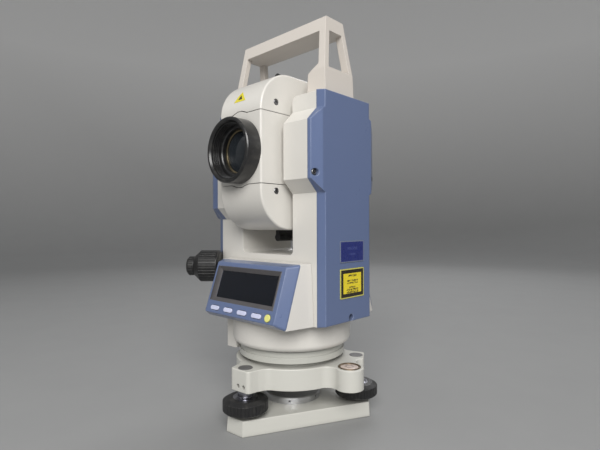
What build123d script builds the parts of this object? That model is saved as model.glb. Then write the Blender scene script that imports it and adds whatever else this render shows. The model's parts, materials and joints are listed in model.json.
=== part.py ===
"""Surveying total station on its levelling base.

Frame: millimetres, +Z up. The origin is where the vertical axis meets the
underside of the base plate. X runs along the trunnion axis and the telescope
objective looks towards -Y.
"""
import math
import os

from build123d import *

os.makedirs("parts", exist_ok=True)

# ---- driving dimensions -------------------------------------------------
HEIGHT = 345.0
TRUNNION_Z = 231.2
LEVEL_TURN = -26.1          # heading of the base side that carries the bull's-eye vial
FIT = 0.05                  # radial clearance of running fits
GAP = 0.3                   # clearance between parts that move past each other

# base plate and levelling head
BASE_LONG = 44.1            # axis to a long side
BASE_SHORT = 71.8           # axis to a short side
BASE_THICK = 12.8
FOOT_CIRCLE = 59.4          # radius of the circle through the foot screws
FOOT_ANGLES = [LEVEL_TURN + 60, LEVEL_TURN + 180, LEVEL_TURN - 60]
KNOB_R = 18.9
BALL_R = 4.0
BALL_Z = 8.2
HEAD_BOTTOM = 33.5
HEAD_TOP = 51.3
HEAD_R = 51.4
ARM_END = 66.6
CAP_R = 6.0
VIAL_CENTRE = (65.5, 2.0)
THREAD_R = 6.75             # tapped 5/8-11 tripod thread, at the crests

# fixed lower unit and turning base
FLANGE_R = 48.3
FLANGE_BOTTOM = 54.6
FLANGE_TOP = 59.5
SHAFT_R = 10.0
SKIRT_R = 54.1
SKIRT_BOTTOM = 65.2
YOKE_BOTTOM = 88.4

# yoke and covers
YOKE_X = {1: 59.0, -1: 63.6}         # outer face of each standard, right and left
YOKE_Y = 31.5
YOKE_INNER = 32.45
YOKE_TOP = 276.5
BRIDGE_Z = 144.6
BULGE_Y = 42.2
BULGE_TOP = 252.4
BULGE_LOW = {1: 206.3, -1: 186.0}   # lower edge of the bulge, right and left
BEVEL = 10.6
COVER_X = {1: 66.8, -1: 69.8}
WALL = 4.0

# telescope
SCOPE_X = 26.65
SCOPE_Y = 61.4
SCOPE_TOP = 296.5
SCOPE_BOTTOM = 165.5
SCOPE_ROUND = 33.5
SEAM_LOW = 203.7
SEAM_HIGH = 262.0
SEAM = 0.5
TUBE_R = 21.0
HOOD_R = 26.9
HOOD_FRONT = 75.2
SIGHT_R = 3.4

# display
PANEL_CENTRE_Y = 58.0
PANEL_CENTRE_Z = 115.0
PANEL_TILT = 18.75
PANEL_W = 89.2
PANEL_H = 46.0
BEZEL_BACK_W = 101.2
BEZEL_BACK_H = 52.6
BEZEL_DEPTH = 8.7
BEZEL_SHIFT = 1.3           # the back outline sits this much higher than the front one
LCD_X = -1.0
LCD_Y = 3.45
KEY_Y = -18.4
KEY_XS = [-31.5, -13.2, 5.1, 23.4]
POWER_X = 36.6
KEY_W = 11.4
KEY_H = 3.8
POWER_R = 3.0
KEY_OUT = 0.9
PLATE_BACK = -5.2           # back of the bezel's front plate, from the panel face

UP = (0, 0, 1)
RIGHT = 1
LEFT = -1
FRONT = -1
REAR = 1


def polar(radius, degrees, z=0.0):
    """Point at a radius and heading about the vertical axis."""
    turn = math.radians(degrees)
    return (radius * math.cos(turn), radius * math.sin(turn), z)


def section(origin, axis):
    """Half-plane whose x is the radius and whose y runs along the axis."""
    along = Vector(*axis).normalized()
    radial = Vector(1, 0, 0) if abs(along.Z) > 0.9 else Vector(0, 0, 1)
    return Plane(origin=origin, x_dir=radial, z_dir=radial.cross(along))


def panel_plane(side, offset=0.0):
    """Plane of a display's front face, moved outwards by the offset."""
    tilt = math.radians(PANEL_TILT)
    normal = (0, side * math.cos(tilt), math.sin(tilt))
    face = Plane(origin=(0, side * PANEL_CENTRE_Y, PANEL_CENTRE_Z), x_dir=(-side, 0, 0), z_dir=normal)
    return face.offset(offset)


def hexagon_corners(long_side, short_side, turn):
    """Corners of a hexagon whose sides lie at two distances in turn."""
    corners = []
    for side in range(6):
        here, following = (long_side, short_side) if side % 2 == 0 else (short_side, long_side)
        heading = math.radians(turn + 60 * side)
        along = (following - here * math.cos(math.pi / 3)) / math.sin(math.pi / 3)
        corners.append((here * math.cos(heading) - along * math.sin(heading),
                        here * math.sin(heading) + along * math.cos(heading)))
    return corners


# ---- base plate ---------------------------------------------------------
SOCKET_R = 6.5
SOCKET_FLOOR = 2.4
BOSS_SPIGOT_R = 18.0
BOSS_R = 26.0
BOSS_TOP = 18.4
BASE_DRAFT = 0.9

with BuildPart() as base_plate:
    with BuildSketch(Plane.XY):
        Polygon(*hexagon_corners(BASE_LONG, BASE_SHORT, LEVEL_TURN), align=None)
    with BuildSketch(Plane.XY.offset(BASE_THICK)):
        Polygon(*hexagon_corners(BASE_LONG - BASE_DRAFT, BASE_SHORT - BASE_DRAFT, LEVEL_TURN), align=None)
    loft()
    fillet(base_plate.faces().sort_by(Axis.Z)[-1].edges(), radius=0.8)
    chamfer(base_plate.faces().sort_by(Axis.Z)[0].edges(), length=0.5)
    with BuildSketch(Plane.XY):
        Circle(BOSS_SPIGOT_R)
    extrude(amount=BASE_THICK, mode=Mode.SUBTRACT)
    with BuildSketch(Plane.XY.offset(SOCKET_FLOOR)):
        with Locations(*[polar(FOOT_CIRCLE, a)[:2] for a in FOOT_ANGLES]):
            Circle(SOCKET_R)
    extrude(amount=BASE_THICK, mode=Mode.SUBTRACT)
base_plate.part.label = "base_plate"
export_step(base_plate.part, "parts/base_plate.step")

# The tapped boss takes the tripod screw. Its rim has pin-wrench holes.
with BuildPart() as centre_boss:
    with BuildSketch(Plane.XZ):
        Polygon((THREAD_R, 0), (BOSS_SPIGOT_R, 0), (BOSS_SPIGOT_R, BASE_THICK), (BOSS_R, BASE_THICK),
                (BOSS_R, BOSS_TOP - 0.8), (BOSS_R - 0.8, BOSS_TOP), (THREAD_R, BOSS_TOP), align=None)
    revolve(axis=Axis.Z)
    for pin in range(6):
        heading = LEVEL_TURN - 24 + 60 * pin
        with BuildSketch(Plane(origin=polar(BOSS_R + 1, heading, 15.4), z_dir=polar(1, heading))):
            Circle(1.0)
        extrude(amount=-5, mode=Mode.SUBTRACT)
centre_boss.part.label = "centre_boss"
export_step(centre_boss.part, "parts/centre_boss.step")

# ---- foot screws --------------------------------------------------------
KNOB_BOTTOM = 16.7
KNOB_SHOULDER = 25.2
NECK_R = 6.6
SHANK_R = 4.5
SHANK_TOP = 47.5
RIBS = 36

for number, angle in enumerate(FOOT_ANGLES, start=1):
    foot = polar(FOOT_CIRCLE, angle)
    with BuildPart() as foot_screw:
        with BuildSketch(section(foot, UP)):
            with BuildLine():
                Polyline((0, BALL_Z - BALL_R), (0, SHANK_TOP), (SHANK_R, SHANK_TOP), (SHANK_R, HEAD_BOTTOM - GAP),
                         (NECK_R, HEAD_BOTTOM - GAP), (NECK_R, 28.6), (9, 27.8), (14.6, 27.6), (KNOB_R, KNOB_SHOULDER),
                         (KNOB_R, KNOB_BOTTOM + 1.2), (KNOB_R - 1.2, KNOB_BOTTOM), (6, KNOB_BOTTOM), (3, 14.6),
                         (3, BALL_Z + math.sqrt(BALL_R**2 - 9)))
                CenterArc((0, BALL_Z), BALL_R, -90, 90 + math.degrees(math.atan2(math.sqrt(BALL_R**2 - 9), 3)))
            make_face()
        revolve(axis=Axis(foot, UP))
        with BuildSketch(Plane(origin=(foot[0], foot[1], KNOB_BOTTOM - 1))):
            with PolarLocations(KNOB_R + 0.3, RIBS):
                Circle(0.75)
        extrude(amount=KNOB_SHOULDER - KNOB_BOTTOM + 2, mode=Mode.SUBTRACT)
    foot_screw.part.label = f"foot_screw_{number}"
    export_step(foot_screw.part, f"parts/foot_screw_{number}.step")

# ---- levelling head -----------------------------------------------------
VIAL_BOSS_R = 12.0
VIAL_SEAT_R = 9.6
VIAL_SEAT_Z = 45.0
LEVER_ANGLE = LEVEL_TURN + 120
LEVER_Z = 42.4
LEVER_R = 52.9
STUD_CIRCLE = 36.0
STUD_R = 4.0
HEAD_BORE_R = 20.5
CORNER_R = 3.5
WEB_R = 9.0

with BuildPart() as tribrach_body:
    with BuildSketch(Plane.XY.offset(HEAD_BOTTOM)) as head_plan:
        Circle(HEAD_R)
        for angle in FOOT_ANGLES:
            with Locations(Location((0, 0, 0), (0, 0, angle))):
                Polygon((0, -20), (48, -16.5), (57, -12.5), (ARM_END, -10.4), (ARM_END, 10.4), (57, 12.5),
                        (48, 16.5), (0, 20), align=None)
        with Locations(VIAL_CENTRE):
            Circle(VIAL_BOSS_R)
        with Locations((VIAL_CENTRE[0] - 12, VIAL_CENTRE[1])):
            Rectangle(24, 1.6 * VIAL_BOSS_R)
        # round the inner corners, then the outer ones
        for step in (WEB_R, -WEB_R, -CORNER_R, CORNER_R):
            offset(amount=step, kind=Kind.ARC, mode=Mode.REPLACE)
    extrude(amount=HEAD_TOP - HEAD_BOTTOM)
    fillet(tribrach_body.faces().sort_by(Axis.Z)[-1].edges(), radius=0.9)
    with BuildSketch(Plane(origin=polar(44, LEVER_ANGLE, LEVER_Z), z_dir=polar(1, LEVER_ANGLE))):
        Circle(8.2)
    extrude(amount=LEVER_R - 44 - GAP)
    with BuildSketch(Plane(origin=polar(42, LEVER_ANGLE, LEVER_Z), z_dir=polar(1, LEVER_ANGLE))):
        Circle(3 + FIT)
    extrude(amount=20, mode=Mode.SUBTRACT)
    with BuildSketch(Plane.XY.offset(HEAD_BOTTOM)):
        Circle(HEAD_BORE_R)
        with PolarLocations(STUD_CIRCLE, 3, start_angle=LEVEL_TURN):
            Circle(STUD_R)
        with Locations(*[polar(FOOT_CIRCLE, a)[:2] for a in FOOT_ANGLES]):
            Circle(SHANK_R + FIT)
    extrude(amount=HEAD_TOP - HEAD_BOTTOM, mode=Mode.SUBTRACT)
    with BuildSketch(Plane.XY.offset(48.2)):
        with Locations(*[polar(FOOT_CIRCLE, a)[:2] for a in FOOT_ANGLES]):
            Circle(CAP_R)
    extrude(amount=4, mode=Mode.SUBTRACT)
    with BuildSketch(Plane.XY.offset(VIAL_SEAT_Z)):
        with Locations(VIAL_CENTRE):
            Circle(VIAL_SEAT_R)
    extrude(amount=8, mode=Mode.SUBTRACT)
    # grub-screw holes that set the drag of the foot screws, a pair on each arm's end
    for angle in FOOT_ANGLES:
        with BuildSketch(Plane(origin=polar(ARM_END + 1, angle, 38), x_dir=polar(1, angle + 90),
                               z_dir=polar(1, angle))):
            with Locations((-1.2, 0), (5.2, 0)):
                Circle(1.6)
        extrude(amount=-4, mode=Mode.SUBTRACT)
tribrach_body.part.label = "tribrach_body"
export_step(tribrach_body.part, "parts/tribrach_body.step")

with BuildPart() as foot_screw_caps:
    with BuildSketch(Plane.XY.offset(48.2)):
        with Locations(*[polar(FOOT_CIRCLE, a)[:2] for a in FOOT_ANGLES]):
            Circle(CAP_R)
    extrude(amount=HEAD_TOP - 48.2 + 0.3)
foot_screw_caps.part.label = "foot_screw_caps"
export_step(foot_screw_caps.part, "parts/foot_screw_caps.step")

with BuildPart() as circular_vial:
    with BuildSketch(section((*VIAL_CENTRE, 0), UP)):
        Polygon((0, VIAL_SEAT_Z), (VIAL_SEAT_R, VIAL_SEAT_Z), (VIAL_SEAT_R, HEAD_TOP + 0.6), (7.2, HEAD_TOP + 0.6),
                (7.2, HEAD_TOP - 0.2), (0, HEAD_TOP + 0.1), align=None)
    revolve(axis=Axis((*VIAL_CENTRE, 0), UP))
circular_vial.part.label = "circular_vial"
export_step(circular_vial.part, "parts/circular_vial.step")

# A winged lever on a radial spindle locks the instrument into the head.
with BuildPart() as clamp_lever:
    with BuildSketch(section(polar(0, 0, LEVER_Z), polar(1, LEVER_ANGLE))):
        Polygon((0, 42.5), (3, 42.5), (3, LEVER_R), (7.4, LEVER_R), (7.4, LEVER_R + 4.4), (6.6, LEVER_R + 5.2),
                (0, LEVER_R + 5.2), align=None)
    revolve(axis=Axis(polar(0, 0, LEVER_Z), polar(1, LEVER_ANGLE)))
    with BuildSketch(Plane(origin=polar(LEVER_R, LEVER_ANGLE, LEVER_Z), x_dir=polar(1, LEVER_ANGLE + 90),
                           z_dir=polar(1, LEVER_ANGLE))):
        with Locations((8, 0)):
            SlotOverall(24, 6)
    extrude(amount=4.4)
clamp_lever.part.label = "clamp_lever"
export_step(clamp_lever.part, "parts/clamp_lever.step")

# ---- fixed lower unit ---------------------------------------------------
HUB_R = 18.0
BUSH_R = 14.0
HUB_TOP = 74.0

with BuildPart() as centring_flange:
    with BuildSketch(Plane.XZ):
        Polygon((BUSH_R, 49), (19.5, 49), (19.5, HEAD_TOP), (44, HEAD_TOP), (44, FLANGE_BOTTOM),
                (FLANGE_R, FLANGE_BOTTOM), (FLANGE_R, FLANGE_TOP), (47.2, FLANGE_TOP), (47.2, 64.8), (44, 64.8),
                (44, 62), (HUB_R, 62), (HUB_R, HUB_TOP), (BUSH_R, HUB_TOP), align=None)
    revolve(axis=Axis.Z)
    with BuildSketch(Plane.XY.offset(45)):
        with PolarLocations(STUD_CIRCLE, 3, start_angle=LEVEL_TURN):
            Circle(STUD_R)
    extrude(amount=FLANGE_BOTTOM - 45)
centring_flange.part.label = "centring_flange"
export_step(centring_flange.part, "parts/centring_flange.step")

with BuildPart() as axis_bushing:
    with BuildSketch(Plane.XZ):
        Polygon((SHAFT_R + FIT, 49), (BUSH_R, 49), (BUSH_R, HUB_TOP), (BUSH_R + 2, HUB_TOP + 2.6),
                (BUSH_R + 2, HUB_TOP + 4.4), (SHAFT_R + FIT, HUB_TOP + 4.4), align=None)
    revolve(axis=Axis.Z)
axis_bushing.part.label = "axis_bushing"
export_step(axis_bushing.part, "parts/axis_bushing.step")

with BuildPart() as horizontal_circle:
    with BuildSketch(Plane.XY.offset(HUB_TOP)):
        Circle(42)
        Circle(BUSH_R + 2.2, mode=Mode.SUBTRACT)
    extrude(amount=2)
horizontal_circle.part.label = "horizontal_circle"
export_step(horizontal_circle.part, "parts/horizontal_circle.step")

# ---- turning base -------------------------------------------------------
PLATE_Z = 84.4              # underside of the turning base's top plate
LUG_X = (-51.7, -38.0)
LUG_Y = (-36.4, 40.0)
LUG_Z = 55.6
HSCREW = (-45.6, 70.5)      # x and z of the horizontal tangent screw
STEM_R = 2.6                # spindle of a tangent knob
PLUMMET_Z = 75.0
PLUMMET_END = 60.0

with BuildPart() as vertical_spindle:
    with BuildSketch(Plane.XZ):
        Polygon((5, 47.5), (SHAFT_R, 47.5), (SHAFT_R, 79.4), (24, 80.4), (24, PLATE_Z), (12, PLATE_Z), (12, 96),
                (5, 96), align=None)
    revolve(axis=Axis.Z)
vertical_spindle.part.label = "vertical_spindle"
export_step(vertical_spindle.part, "parts/vertical_spindle.step")

with BuildPart() as alidade_base:
    with BuildSketch(Plane.XY.offset(SKIRT_BOTTOM)):
        Circle(SKIRT_R)
    extrude(amount=YOKE_BOTTOM - SKIRT_BOTTOM)
    fillet(alidade_base.edges().group_by(Axis.Z)[0], radius=5)
    with BuildSketch(Plane.XY.offset(LUG_Z)):
        with Locations(((LUG_X[0] + LUG_X[1]) / 2, (LUG_Y[0] + LUG_Y[1]) / 2)):
            RectangleRounded(LUG_X[1] - LUG_X[0], LUG_Y[1] - LUG_Y[0], 2.5)
    extrude(amount=PLATE_Z - LUG_Z)
    with BuildSketch(section((0, 0, PLUMMET_Z), (0, 1, 0))):
        Polygon((0, 48), (8.4, 48), (8.4, 55.4), (6, 55.4), (6, PLUMMET_END), (0, PLUMMET_END), align=None)
    revolve(axis=Axis((0, 0, PLUMMET_Z), (0, 1, 0)))
    with BuildSketch(Plane.XY.offset(LUG_Z)):
        Circle(SKIRT_R - 4.6)
    extrude(amount=PLATE_Z - LUG_Z, mode=Mode.SUBTRACT)
    with BuildSketch(Plane.XY.offset(PLATE_Z)):
        Circle(12)
    extrude(amount=8, mode=Mode.SUBTRACT)
    with BuildSketch(Plane.XZ.offset(-LUG_Y[1])):
        with Locations(HSCREW):
            Circle(STEM_R + FIT)
        with Locations((0, PLUMMET_Z)):
            Circle(4)
    extrude(amount=15, both=True, mode=Mode.SUBTRACT)
    with BuildSketch(Plane.XZ.offset(-PLUMMET_END)):
        with Locations((0, PLUMMET_Z)):
            Circle(4)
    extrude(amount=15, mode=Mode.SUBTRACT)
alidade_base.part.label = "alidade_base"
export_step(alidade_base.part, "parts/alidade_base.step")

# ---- yoke ---------------------------------------------------------------
BIG_R = 15.0
VKNOB_BASE = (-60.0, -36.3, 130.7)
VKNOB_HEADING = 180 + 41
VKNOB_AXIS = polar(1, VKNOB_HEADING)
VSTEM_R = 5.4
CAVITY_Y = 27.5
BEARING_R = 15.0
CIRCLE_ROOM_R = 35.2
BRIDGE_ROOM = (60.0, 36.0)  # width and height of the tunnel through the bridge
BRIDGE_ROOM_Z = 116.0
SCREW_R = 1.5
COVER_SCREW_Y = 38.3
COVER_SCREW_Z = 211.0
FOOT_SCREW_Z = 94.0
FOOT_SCREW_Y = 3.0


def bulge_outline(side):
    """Side view of one standard's trunnion bulge, as (y, z) corners."""
    low = BULGE_LOW[side]
    return [(-YOKE_Y, low - BEVEL), (YOKE_Y, low - BEVEL), (BULGE_Y, low), (BULGE_Y, BULGE_TOP),
            (YOKE_Y, BULGE_TOP + BEVEL), (-YOKE_Y, BULGE_TOP + BEVEL), (-BULGE_Y, BULGE_TOP), (-BULGE_Y, low)]


# room for the vertical tangent knob and its spindle, taken out of the parts behind it
with BuildPart(mode=Mode.PRIVATE) as relief_cutter:
    with BuildSketch(Plane(origin=VKNOB_BASE, z_dir=VKNOB_AXIS).offset(-GAP)):
        Circle(BIG_R + 0.8)
    extrude(amount=30)
    with BuildSketch(Plane(origin=VKNOB_BASE, z_dir=VKNOB_AXIS)):
        Circle(STEM_R + FIT)
    extrude(amount=-20)
knob_relief = relief_cutter.part

with BuildPart() as yoke_frame:
    with BuildSketch(Plane.XZ) as yoke_front:
        with Locations(((YOKE_X[RIGHT] - YOKE_X[LEFT]) / 2, (YOKE_BOTTOM + YOKE_TOP) / 2)):
            Rectangle(YOKE_X[RIGHT] + YOKE_X[LEFT], YOKE_TOP - YOKE_BOTTOM)
        with Locations((0, (BRIDGE_Z + YOKE_TOP) / 2)):
            Rectangle(2 * YOKE_INNER, YOKE_TOP - BRIDGE_Z, mode=Mode.SUBTRACT)
        fillet(yoke_front.vertices().group_by(Axis.Y)[1], radius=4)
        fillet(yoke_front.vertices().group_by(Axis.Y)[-1].sort_by(Axis.X)[1:3], radius=5)
    extrude(amount=YOKE_Y, both=True)
    for side in (RIGHT, LEFT):
        with BuildSketch(Plane.YZ.offset(side * YOKE_INNER)):
            Polygon(*bulge_outline(side), align=None)
        extrude(amount=side * (YOKE_X[side] - YOKE_INNER))
    # boss for the vertical tangent screw, kept off the display housing and the cover
    with BuildSketch(Plane(origin=VKNOB_BASE, z_dir=VKNOB_AXIS).offset(-3.4)):
        Circle(VSTEM_R)
    extrude(amount=-14)
    with BuildSketch(Plane.XY.offset(YOKE_BOTTOM)):
        with Locations((-43.4, -38.5), (-YOKE_X[LEFT] - 9.1, -24.6)):
            Rectangle(18, 14)
    extrude(amount=60, mode=Mode.SUBTRACT)
    for side in (RIGHT, LEFT):
        with BuildSketch(Plane.YZ.offset(side * (YOKE_INNER + WALL))):
            with Locations((0, 183)):
                Rectangle(2 * CAVITY_Y, 174)
            with Locations((0, TRUNNION_Z)):
                Circle(CIRCLE_ROOM_R)
        extrude(amount=side * YOKE_X[side], mode=Mode.SUBTRACT)
        with BuildSketch(Plane.YZ.offset(side * YOKE_INNER)):
            with Locations((0, TRUNNION_Z)):
                Circle(BEARING_R)
        extrude(amount=side * 10, mode=Mode.SUBTRACT)
        with BuildSketch(Plane.YZ.offset(side * YOKE_X[side])):
            with Locations((COVER_SCREW_Y, COVER_SCREW_Z), (-COVER_SCREW_Y, COVER_SCREW_Z),
                           (FOOT_SCREW_Y, FOOT_SCREW_Z - 1.5)):
                Circle(SCREW_R)
        extrude(amount=-side * 8, mode=Mode.SUBTRACT)
    with BuildSketch(Plane.XZ):
        with Locations((0, BRIDGE_ROOM_Z)):
            Rectangle(*BRIDGE_ROOM)
    extrude(amount=YOKE_Y, both=True, mode=Mode.SUBTRACT)
    with BuildSketch(Plane.XY.offset(YOKE_BOTTOM)):
        Circle(12)
    extrude(amount=14, mode=Mode.SUBTRACT)
    add(knob_relief, mode=Mode.SUBTRACT)
yoke_frame.part.label = "yoke_frame"
export_step(yoke_frame.part, "parts/yoke_frame.step")

with BuildPart() as trunnion_bearings:
    with BuildSketch(section((0, 0, TRUNNION_Z), (1, 0, 0))):
        for side in (RIGHT, LEFT):
            Polygon((SHAFT_R + FIT, side * YOKE_INNER), (BEARING_R, side * YOKE_INNER), (BEARING_R, side * 36.5),
                    (BEARING_R + 3, side * 36.5), (BEARING_R + 3, side * 39.5), (SHAFT_R + FIT, side * 39.5),
                    align=None)
    revolve(axis=Axis((0, 0, TRUNNION_Z), (1, 0, 0)))
trunnion_bearings.part.label = "trunnion_bearings"
export_step(trunnion_bearings.part, "parts/trunnion_bearings.step")

# ---- side covers --------------------------------------------------------
COVER_LIP_X = {RIGHT: 62.0, LEFT: 65.8}
COVER_ROOM_X = {RIGHT: 64.2, LEFT: 67.2}


def cover_outline(side, half_width, half_bulge, bottom, top, slope):
    """Cover section at one depth: a tall rectangle with the trunnion bulge."""
    low = BULGE_LOW[side]
    corners = [(half_width, bottom), (half_width, low - BEVEL), (half_bulge, low - BEVEL + slope),
               (half_bulge, BULGE_TOP + BEVEL - slope), (half_width, BULGE_TOP + BEVEL), (half_width, top)]
    return corners + [(-y, z) for y, z in reversed(corners)]


for side, name in ((RIGHT, "right_cover"), (LEFT, "left_cover")):
    with BuildPart() as cover:
        with BuildSketch(Plane.YZ.offset(side * YOKE_X[side])):
            Polygon(*cover_outline(side, 31.5, BULGE_Y, 88.4, 277.4, BEVEL), align=None)
        with BuildSketch(Plane.YZ.offset(side * COVER_LIP_X[side])):
            Polygon(*cover_outline(side, 30.9, BULGE_Y - 0.6, 88.8, 277.1, BEVEL), align=None)
        with BuildSketch(Plane.YZ.offset(side * COVER_X[side])):
            Polygon(*cover_outline(side, 29.7, 32.6, 89.6, 276.5, 1.4), align=None)
        loft(ruled=True)
        with BuildSketch(Plane.YZ.offset(side * YOKE_X[side])):
            with Locations((0, 183)):
                Rectangle(2 * CAVITY_Y, 174)
        extrude(amount=side * (COVER_ROOM_X[side] - YOKE_X[side]), mode=Mode.SUBTRACT)
        # stepped screw holes through the bulge and at the foot
        for y, z in ((COVER_SCREW_Y, COVER_SCREW_Z), (-COVER_SCREW_Y, COVER_SCREW_Z),
                     (FOOT_SCREW_Y, FOOT_SCREW_Z - 1.5)):
            with BuildSketch(Plane.YZ.offset(side * YOKE_X[side])):
                with Locations((y, z)):
                    Circle(SCREW_R)
            extrude(amount=side * 20, mode=Mode.SUBTRACT)
            with BuildSketch(Plane.YZ.offset(side * (YOKE_X[side] + 2.2))):
                with Locations((y, z)):
                    Circle(2.9)
            extrude(amount=side * 20, mode=Mode.SUBTRACT)
        add(knob_relief, mode=Mode.SUBTRACT)
    cover.part.label = name
    export_step(cover.part, f"parts/{name}.step")

# ---- carrying handle ----------------------------------------------------
GRIP_T = 12.0
GRIP_Y = 11.5
FOOT_Z = 299.5              # where the posts meet the feet
FLARE_Z = 297.0
HANDLE_SCREW_X = 46.0
HANDLE_SCREW_Y = 12.0

with BuildPart() as carry_handle:
    with BuildSketch(Plane.XZ):
        for side in (RIGHT, LEFT):
            Polygon((side * 45.7, HEIGHT), (side * 52.2, HEIGHT), (side * 57.2, FOOT_Z), (side * 58.2, YOKE_TOP),
                    (side * 37.8, YOKE_TOP), (side * 38.6, FLARE_Z), (side * 49.6, 304), align=None)
        with Locations((0, HEIGHT - GRIP_T / 2)):
            Rectangle(98, GRIP_T)
    extrude(amount=20, both=True)
    with BuildSketch(Plane.YZ):
        Polygon((-GRIP_Y, HEIGHT), (-18.8, FOOT_Z), (-19.2, YOKE_TOP), (19.2, YOKE_TOP), (18.8, FOOT_Z),
                (GRIP_Y, HEIGHT), align=None)
    extrude(amount=70, both=True, mode=Mode.INTERSECT)
    with BuildSketch(Plane.YZ):
        Polygon((-8.2, HEIGHT - GRIP_T), (-13.6, 300.5), (13.6, 300.5), (8.2, HEIGHT - GRIP_T), align=None)
    extrude(amount=70, both=True, mode=Mode.SUBTRACT)
    with BuildSketch(Plane.XZ):
        with Locations((0, HEIGHT - GRIP_T / 2)):
            Rectangle(92, GRIP_T)
    extrude(amount=GRIP_Y, both=True)
    fillet(carry_handle.edges().filter_by(Axis.X).group_by(Axis.Z)[-1], radius=1.2)
    with BuildSketch(Plane.XY.offset(YOKE_TOP)):
        with GridLocations(2 * HANDLE_SCREW_X, 2 * HANDLE_SCREW_Y, 2, 2):
            Circle(SCREW_R)
    extrude(amount=30, mode=Mode.SUBTRACT)
    with BuildSketch(Plane.XY.offset(295)):
        with GridLocations(2 * HANDLE_SCREW_X, 2 * HANDLE_SCREW_Y, 2, 2):
            Circle(3.2)
    extrude(amount=12, mode=Mode.SUBTRACT)
carry_handle.part.label = "carry_handle"
export_step(carry_handle.part, "parts/carry_handle.step")


def pan_screw(seat, direction, shank):
    """Pan-head screw: the seat is under its head and the shank runs against the direction."""
    with BuildPart(mode=Mode.PRIVATE) as screw:
        with BuildSketch(section(seat, direction)):
            Polygon((0, -shank), (SCREW_R, -shank), (SCREW_R, 0), (2.7, 0), (2.7, 1.2), (2.0, 1.8), (0, 1.8),
                    align=None)
        revolve(axis=Axis(seat, direction))
        head = Vector(*seat) + Vector(*direction) * 1.8
        with BuildSketch(Plane(origin=head, z_dir=direction)):
            Rectangle(3.2, 0.7)
            Rectangle(0.7, 3.2)
        extrude(amount=-0.9, mode=Mode.SUBTRACT)
    return screw.part


case_screw_list = [pan_screw((x, y, 295), UP, 17.5)
                   for x in (-HANDLE_SCREW_X, HANDLE_SCREW_X)
                   for y in (-HANDLE_SCREW_Y, HANDLE_SCREW_Y)]
for side in (RIGHT, LEFT):
    for y, z in ((COVER_SCREW_Y, COVER_SCREW_Z), (-COVER_SCREW_Y, COVER_SCREW_Z), (FOOT_SCREW_Y, FOOT_SCREW_Z - 1.5)):
        case_screw_list.append(pan_screw((side * (YOKE_X[side] + 2.2), y, z), (side, 0, 0), 7))
case_screws = Compound(children=case_screw_list)
case_screws.label = "case_screws"
export_step(case_screws, "parts/case_screws.step")

# ---- plates on the right cover ------------------------------------------
PLATE_T = 0.5
PLATE_Y = (-11.9, 20.3)

for name, low, high in (("name_plate", 138.8, 156.5), ("warning_plate", 109.1, 133.5)):
    with BuildPart() as plate:
        with BuildSketch(Plane.YZ.offset(COVER_X[RIGHT])):
            with Locations((sum(PLATE_Y) / 2, (low + high) / 2)):
                RectangleRounded(PLATE_Y[1] - PLATE_Y[0], high - low, 0.8)
        extrude(amount=PLATE_T)
    plate.part.label = name
    export_step(plate.part, f"parts/{name}.step")

# ---- displays -----------------------------------------------------------
LCD_W = 73.5
LCD_H = 24.3
RECESS_W = 83.0
RECESS_H = 31.7
RECESS_DEPTH = 3.0
GLASS_W = 78.0
GLASS_H = 28.4
HOUSING_WALL = 2.6
VIAL_Z = 138.8              # top of the display housings, where the plate vial stands

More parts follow.
